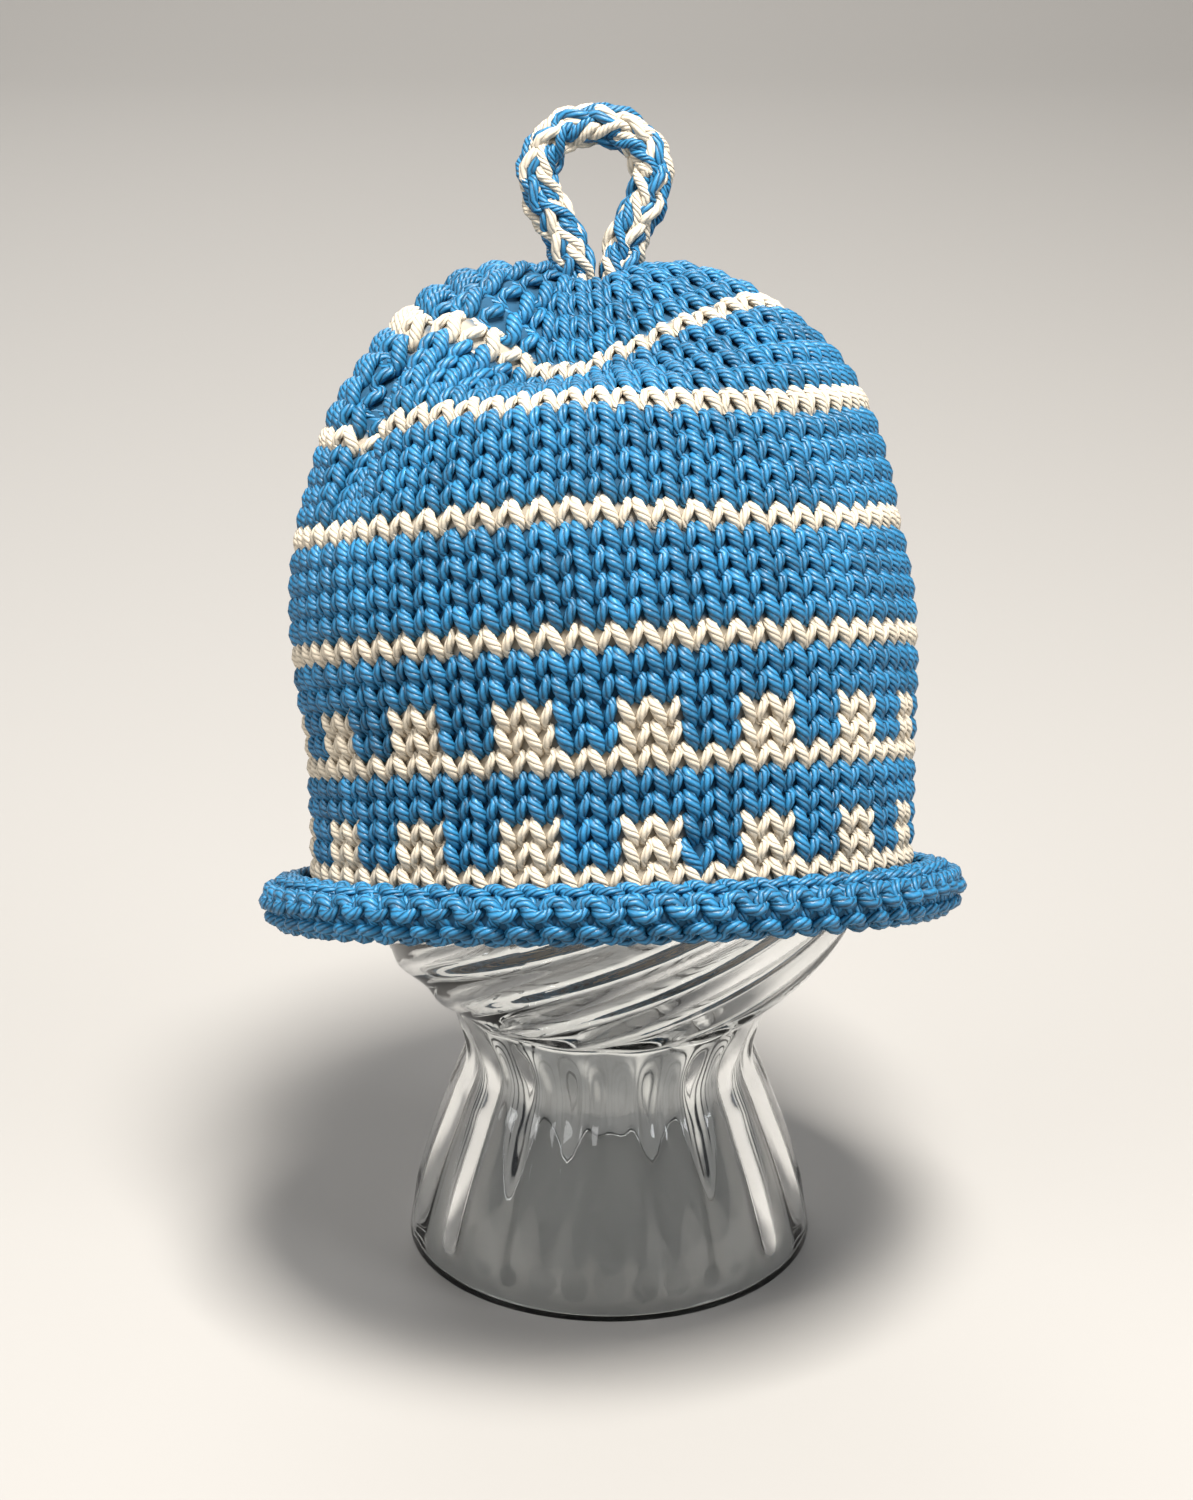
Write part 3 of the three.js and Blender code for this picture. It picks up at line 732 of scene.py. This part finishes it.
def yarn_material(name, colour, painted_ridge_highlight, painted_groove_shade, roughness, shine, strength):
    """Soft shiny cotton: plies raised by bump, with painted shade in their grooves and a painted highlight
    on their middles, uneven in tone.
    """
    material = bpy.data.materials.new(name)
    material.use_nodes = True
    tree = material.node_tree
    shader = tree.nodes["Principled BSDF"]
    uv = tree.nodes.new("ShaderNodeUVMap")
    uv.uv_map = "yarn"
    tone = tree.nodes.new("ShaderNodeAttribute")
    tone.attribute_name = "tone"
    twist = place_group(tree, PLIES, Plies=PLY_COUNT, Fuzz=FIBRES)
    tree.links.new(uv.outputs["UV"], twist.inputs["UV"])
    drift = place_group(tree, TONE, Strength=strength)
    tree.links.new(tone.outputs["Fac"], drift.inputs["Tone"])
    # painted highlight: the colour brightened on a ply's middle (A); painted shade: the colour darkened in
    # its grooves (B)
    mix = tree.nodes.new("ShaderNodeMix")
    mix.data_type = "RGBA"
    mix.inputs["A"].default_value = (*(c * painted_ridge_highlight for c in colour), 1)
    mix.inputs["B"].default_value = (*(c * painted_groove_shade for c in colour), 1)
    tree.links.new(twist.outputs["PaintedGrooveShade"], mix.inputs["Factor"])
    shade = tree.nodes.new("ShaderNodeVectorMath")
    shade.operation = "SCALE"
    tree.links.new(mix.outputs["Result"], shade.inputs[0])
    tree.links.new(drift.outputs["Factor"], shade.inputs["Scale"])
    tree.links.new(shade.outputs["Vector"], shader.inputs["Base Color"])
    bump = tree.nodes.new("ShaderNodeBump")
    bump.inputs["Strength"].default_value = 1.0
    bump.inputs["Distance"].default_value = PLY_HEIGHT * MM
    tree.links.new(twist.outputs["Height"], bump.inputs["Height"])
    tree.links.new(bump.outputs["Normal"], shader.inputs["Normal"])
    shader.inputs["Roughness"].default_value = roughness
    shader.inputs["Specular IOR Level"].default_value = shine
    return material


def core_material():
    """The fabric behind the loops: the shade of the loops in front of it, in shadow."""
    material = bpy.data.materials.new("core_cotton")
    material.use_nodes = True
    tree = material.node_tree
    shader = tree.nodes["Principled BSDF"]
    shade = tree.nodes.new("ShaderNodeAttribute")
    shade.attribute_name = "shade"
    drift = place_group(tree, TONE, Strength=0.5)
    mix = tree.nodes.new("ShaderNodeMix")
    mix.data_type = "RGBA"
    # the loops' colours darkened as painted shade between the loops
    mix.inputs["A"].default_value = (*(c * CORE_BLUE_PAINTED_SHADE for c in BLUE), 1)
    mix.inputs["B"].default_value = (*(c * CORE_CREAM_PAINTED_SHADE for c in CREAM), 1)
    tree.links.new(shade.outputs["Fac"], mix.inputs["Factor"])
    scale = tree.nodes.new("ShaderNodeVectorMath")
    scale.operation = "SCALE"
    tree.links.new(mix.outputs["Result"], scale.inputs[0])
    tree.links.new(drift.outputs["Factor"], scale.inputs["Scale"])
    tree.links.new(scale.outputs["Vector"], shader.inputs["Base Color"])
    shader.inputs["Roughness"].default_value = 0.9
    return material


def glass_material():
    """Clear glass with a very slight waviness in its surface."""
    material = bpy.data.materials.new("clear_glass")
    material.use_nodes = True
    tree = material.node_tree
    shader = tree.nodes["Principled BSDF"]
    shader.inputs["Base Color"].default_value = (0.97, 0.985, 0.98, 1)
    shader.inputs["Transmission Weight"].default_value = 1.0
    shader.inputs["IOR"].default_value = 1.5
    coords = tree.nodes.new("ShaderNodeTexCoord")
    wave = tree.nodes.new("ShaderNodeTexNoise")
    wave.inputs["Scale"].default_value = 45
    tree.links.new(coords.outputs["Object"], wave.inputs["Vector"])
    bump = tree.nodes.new("ShaderNodeBump")
    bump.inputs["Strength"].default_value = 0.25
    bump.inputs["Distance"].default_value = 0.6 * MM
    tree.links.new(wave.outputs["Fac"], bump.inputs["Height"])
    tree.links.new(bump.outputs["Normal"], shader.inputs["Normal"])
    smudge = tree.nodes.new("ShaderNodeMapRange")
    smudge.inputs["To Min"].default_value = 0.0
    smudge.inputs["To Max"].default_value = 0.05
    tree.links.new(wave.outputs["Fac"], smudge.inputs["Value"])
    tree.links.new(smudge.outputs["Result"], shader.inputs["Roughness"])
    return material


def plain_material(name, colour, roughness):
    """One plain finish, for the studio."""
    material = bpy.data.materials.new(name)
    material.use_nodes = True
    shader = material.node_tree.nodes["Principled BSDF"]
    shader.inputs["Base Color"].default_value = (*colour, 1)
    shader.inputs["Roughness"].default_value = roughness
    return material


def place(thing, material, slot, *nodes):
    """Gives a piece its finish and its body, and hides the nodes that it stands for. The slot is not used.
    """
    thing.data.materials.append(material)
    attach(thing, "root")
    if nodes:
        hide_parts(*nodes)


def build_hat():
    """All the knitted pieces."""
    # the first factor brightens the plies' middles as a painted highlight (none for the cream), the second
    # darkens their grooves as painted shade
    blue = yarn_material("blue_cotton", BLUE, painted_ridge_highlight=1.95, painted_groove_shade=0.4,
                         roughness=0.42, shine=0.38, strength=0.7)
    cream = yarn_material("cream_cotton", CREAM, painted_ridge_highlight=1.0, painted_groove_shade=0.68,
                          roughness=0.6, shine=0.2, strength=0.25)
    lower, upper, stripes = knit_body()
    crown = knit_crown(stripes)
    place(lower.build("lower_rows"), blue, "blue_cotton", "hat_body")
    place(upper.build("upper_rows"), blue, "blue_cotton", "hat_body")
    place(crown.build("crown_rows"), blue, "blue_cotton", "hat_body")
    place(stripes.build("cream_rows"), cream, "cream_cotton", "hat_body")
    place(knit_roll().build("brim_rows"), blue, "blue_cotton", "rolled_brim")
    place(fabric_core(), core_material(), "blue_cotton", "hat_body", "rolled_brim")
    cord_blue, cord_cream = knit_cord()
    place(cord_blue.build("loop_blue_strand"), blue, "blue_cotton", "top_loop")
    place(cord_cream.build("loop_cream_strand"), cream, "cream_cotton", "top_loop")


def build_glass():
    """The stand."""
    place(glass_vase(), glass_material(), "clear_glass", "glass_stand")


# The studio
CAMERA_DISTANCE = 775.0
FOCAL_PIXELS = 3875.0
IMAGE_HEIGHT = 1500
SENSOR = 36.0
AIM_IN_HAT = 6.0  # above the bulb's middle, along the hat's axis
CAMERA_ASIDE = -2.5  # millimetres to the left of the hat's axis
LAMPS_AIM = (0, 0, 0.12)


def look_at(thing, target):
    """Turns a lamp or camera towards a point."""
    thing.rotation_euler = (Vector(target) - thing.location).to_track_quat("-Z", "Y").to_euler()


def add_camera():
    """The camera stands level with the leaning hat, as far away as the picture's perspective says."""
    camera = bpy.data.objects.new("camera", bpy.data.cameras.new("camera"))
    bpy.context.collection.objects.link(camera)
    aim = in_row_frame([CAMERA_ASIDE, 0, BULB_IN_HAT + AIM_IN_HAT])
    eye = in_row_frame([CAMERA_ASIDE, -CAMERA_DISTANCE, BULB_IN_HAT + AIM_IN_HAT])
    camera.location = eye
    look_at(camera, aim)
    camera.data.sensor_width = SENSOR
    camera.data.lens = FOCAL_PIXELS / IMAGE_HEIGHT * SENSOR
    camera.data.clip_start = 0.01
    bpy.context.scene.camera = camera


def add_lamp(name, place_m, size_m, power, colour=(1, 1, 1)):
    """A square soft lamp turned to the hat."""
    data = bpy.data.lights.new(name, "AREA")
    data.size, data.energy, data.color = size_m, power, colour
    lamp = bpy.data.objects.new(name, data)
    bpy.context.collection.objects.link(lamp)
    lamp.location = place_m
    look_at(lamp, LAMPS_AIM)


def add_studio():
    """A pale floor that curves up into a backdrop, and soft lamps."""
    near, depth, rise, bend, aside = -1.4, 1.6, 1.8, 0.5, 2.2
    turn = np.linspace(0, np.pi / 2, 16)
    y = np.concatenate([[near], depth - bend + bend * np.sin(turn), [depth]])
    z = np.concatenate([[0], bend - bend * np.cos(turn), [rise]])
    x = np.array([-aside, aside])
    vertices = np.stack([np.tile(x, len(y)), np.repeat(y, 2), np.repeat(z, 2)], axis=1)
    i = np.arange(len(y) - 1) * 2
    floor = make_mesh("floor", vertices, np.stack([i, i + 1, i + 3, i + 2], axis=1))
    floor.data.materials.append(plain_material("pale_floor", (0.30, 0.285, 0.265), roughness=0.7))
    world = bpy.data.worlds.new("world")
    bpy.context.scene.world = world
    world.use_nodes = True
    world.node_tree.nodes["Background"].inputs["Color"].default_value = (0.88, 0.92, 1.0, 1)
    world.node_tree.nodes["Background"].inputs["Strength"].default_value = 0.2
    add_lamp("key", (0.12, -0.2, 1.25), size_m=0.35, power=38, colour=(1.0, 0.98, 0.95))
    add_lamp("fill", (0.95, -0.5, 0.5), size_m=0.5, power=7, colour=(0.95, 0.97, 1.0))
    add_lamp("left", (-1.0, -0.5, 0.6), size_m=0.8, power=9)
    add_lamp("back", (-0.2, 1.1, 0.8), size_m=0.8, power=7)
    bpy.context.scene.view_settings.view_transform = "Standard"


build_hat()
build_glass()
add_camera()
add_studio()
